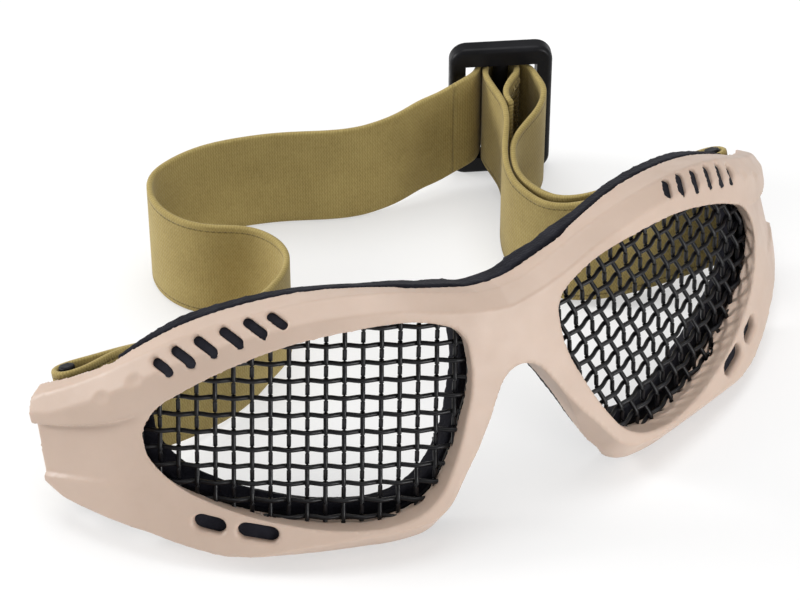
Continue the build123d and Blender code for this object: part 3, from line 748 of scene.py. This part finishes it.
# Threads of the bar tacks, as shares of the patch that they cover
tack_rows = 30
tack_length_share = 0.97
tack_wave_share = 0.42
tack_place_share = 0.46
tack_radius = 0.16 * MM
tack_sides = 6
tack_scatter = 0.02
loose_threads = 4
loose_root_share = 0.9
loose_radius = 0.13 * MM
loose_sides = 5
loose_bend = 1.2
loose_least = 1.5
loose_most = 3.2


def tack_threads(node, name, body):
    """Zigzag stitching over the patch of a CAD node, with loose thread ends at its top."""
    patch = frame["nodes"][node]
    points = np.array([patch.matrix_world @ vertex.co for vertex in patch.data.vertices])
    middle = (points.min(0) + points.max(0)) / 2
    _, _, axes = np.linalg.svd(points - points.mean(0), full_matrices=False)
    upward, along, out = (Vector(axis) for axis in axes)
    upward = upward if upward.z > 0 else -upward
    tall, wide = (np.abs((points - middle) @ np.array(axis)).max() for axis in (upward, along))
    middle = Vector(middle)
    random = np.random.default_rng(7)
    vertices, faces = [], []
    for pair in (-1, 1):
        path = []
        for k in range(tack_rows + 1):
            high = tall * tack_length_share * (2 * k / tack_rows - 1)
            aside = wide * (tack_wave_share * (1 if k % 2 else -1) + pair * tack_place_share)
            scatter = float(random.uniform(-tack_scatter, tack_scatter)) * MM
            path.append(middle + upward * high + along * aside + out * scatter)
        tube(path, tack_radius, tack_sides, vertices, faces)
    for k in range(loose_threads):
        root = middle + upward * tall * loose_root_share + along * wide * (k / 1.5 - 1)
        bend = along * float(random.uniform(-loose_bend, loose_bend)) * MM
        tip = root + upward * float(random.uniform(loose_least, loose_most)) * MM
        path = [root, root.lerp(tip, 0.4) + bend * 0.3, root.lerp(tip, 0.75) + bend * 0.8]
        path.append(tip + bend * 1.5)
        tube(path, loose_radius, loose_sides, vertices, faces)
    piece = new_piece(name, vertices, faces, "thread")
    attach(piece, body)
    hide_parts(node)


tack_threads("bar_tack_left", "tack_threads_left", "goggles")
tack_threads("bar_tack_buckle", "tack_threads_buckle", "strap_carriage")

# CAD nodes that keep their shape
for node in ("tri_glide", "lens_retainer_left", "lens_retainer_right"):
    dress(frame["nodes"][node], "trim", node == "tri_glide")


# Floor, light and camera
floor_reach = 6.0
floor_drop = 0.2 * MM
floor_whitened = 0.5
sky_strength = 0.42
lamp_target = (0, 0, 0.02)
# Name, place, size and power of each lamp
LAMPS = [
    ("key", (0.10, 0.20, 1.1), 0.9, 7.0),
    ("left_back", (-1.1, 0.75, 0.5), 0.5, 14.0),
    ("front", (0.38, -1.12, 0.2), 0.6, 9.5),
]
camera_place = (-0.2342, -0.4376, 0.4259)
camera_right = (0.8819, -0.4715, -0.0007)
camera_up = (0.3011, 0.5620, 0.7703)
camera_back = (-0.3628, -0.6796, 0.6376)


def pale_floor():
    """Pale floor that is seen partly whitened, so that the shadow on it stays but is faint."""
    paint = Paint("pale_floor")
    paint.settle({
        "Base Color": (0.93, 0.93, 0.93, 1),
        "Roughness": 0.9,
        "Specular IOR Level": 0.1,
    })
    white = paint.nodes.new("ShaderNodeEmission")
    white.inputs["Color"].default_value = (1.0, 1.0, 1.0, 1)
    path = paint.nodes.new("ShaderNodeLightPath")
    seen = paint.work_out("MAXIMUM", path.outputs["Is Camera Ray"], path.outputs["Is Glossy Ray"])
    seen = paint.work_out("MAXIMUM", seen, path.outputs["Is Transmission Ray"])
    mix = paint.nodes.new("ShaderNodeMixShader")
    paint.links.new(paint.work_out("MULTIPLY", seen, floor_whitened), mix.inputs[0])
    paint.links.new(paint.shader.outputs["BSDF"], mix.inputs[1])
    paint.links.new(white.outputs["Emission"], mix.inputs[2])
    paint.links.new(mix.outputs["Shader"], paint.output.inputs["Surface"])
    return paint.material


floor_mesh = bpy.data.meshes.new("floor")
floor_corners = [(x * floor_reach, y * floor_reach, 0) for x, y in ((-1, -1), (1, -1), (1, 1), (-1, 1))]
floor_mesh.from_pydata(floor_corners, [], [(0, 1, 2, 3)])
floor = bpy.data.objects.new("floor", floor_mesh)
floor.location.z = -floor_drop
bpy.context.scene.collection.objects.link(floor)
floor_mesh.materials.append(pale_floor())

world = bpy.data.worlds.new("soft_white")
bpy.context.scene.world = world
world.use_nodes = True
nodes, links = world.node_tree.nodes, world.node_tree.links
nodes.clear()
world_out = nodes.new("ShaderNodeOutputWorld")
sky = nodes.new("ShaderNodeBackground")
sky.inputs["Color"].default_value = (1.0, 1.0, 1.0, 1)
sky.inputs["Strength"].default_value = sky_strength
links.new(sky.outputs["Background"], world_out.inputs["Surface"])


for name, place, size, power in LAMPS:
    lamp = bpy.data.lights.new(name, "AREA")
    lamp.shape = "DISK"
    lamp.size = size
    lamp.energy = power
    light = bpy.data.objects.new(name, lamp)
    light.location = place
    light.rotation_euler = (Vector(lamp_target) - Vector(place)).to_track_quat("-Z", "Y").to_euler()
    bpy.context.scene.collection.objects.link(light)

camera_data = bpy.data.cameras.new("camera")
camera_data.lens = 135.0
camera_data.sensor_width = 36.0
camera_data.clip_start = 0.01
camera = bpy.data.objects.new("camera", camera_data)
turn = Matrix((camera_right, camera_up, camera_back)).transposed()
camera.matrix_world = Matrix.Translation(camera_place) @ turn.to_4x4()
bpy.context.scene.collection.objects.link(camera)
bpy.context.scene.camera = camera
bpy.context.scene.view_settings.view_transform = "Standard"
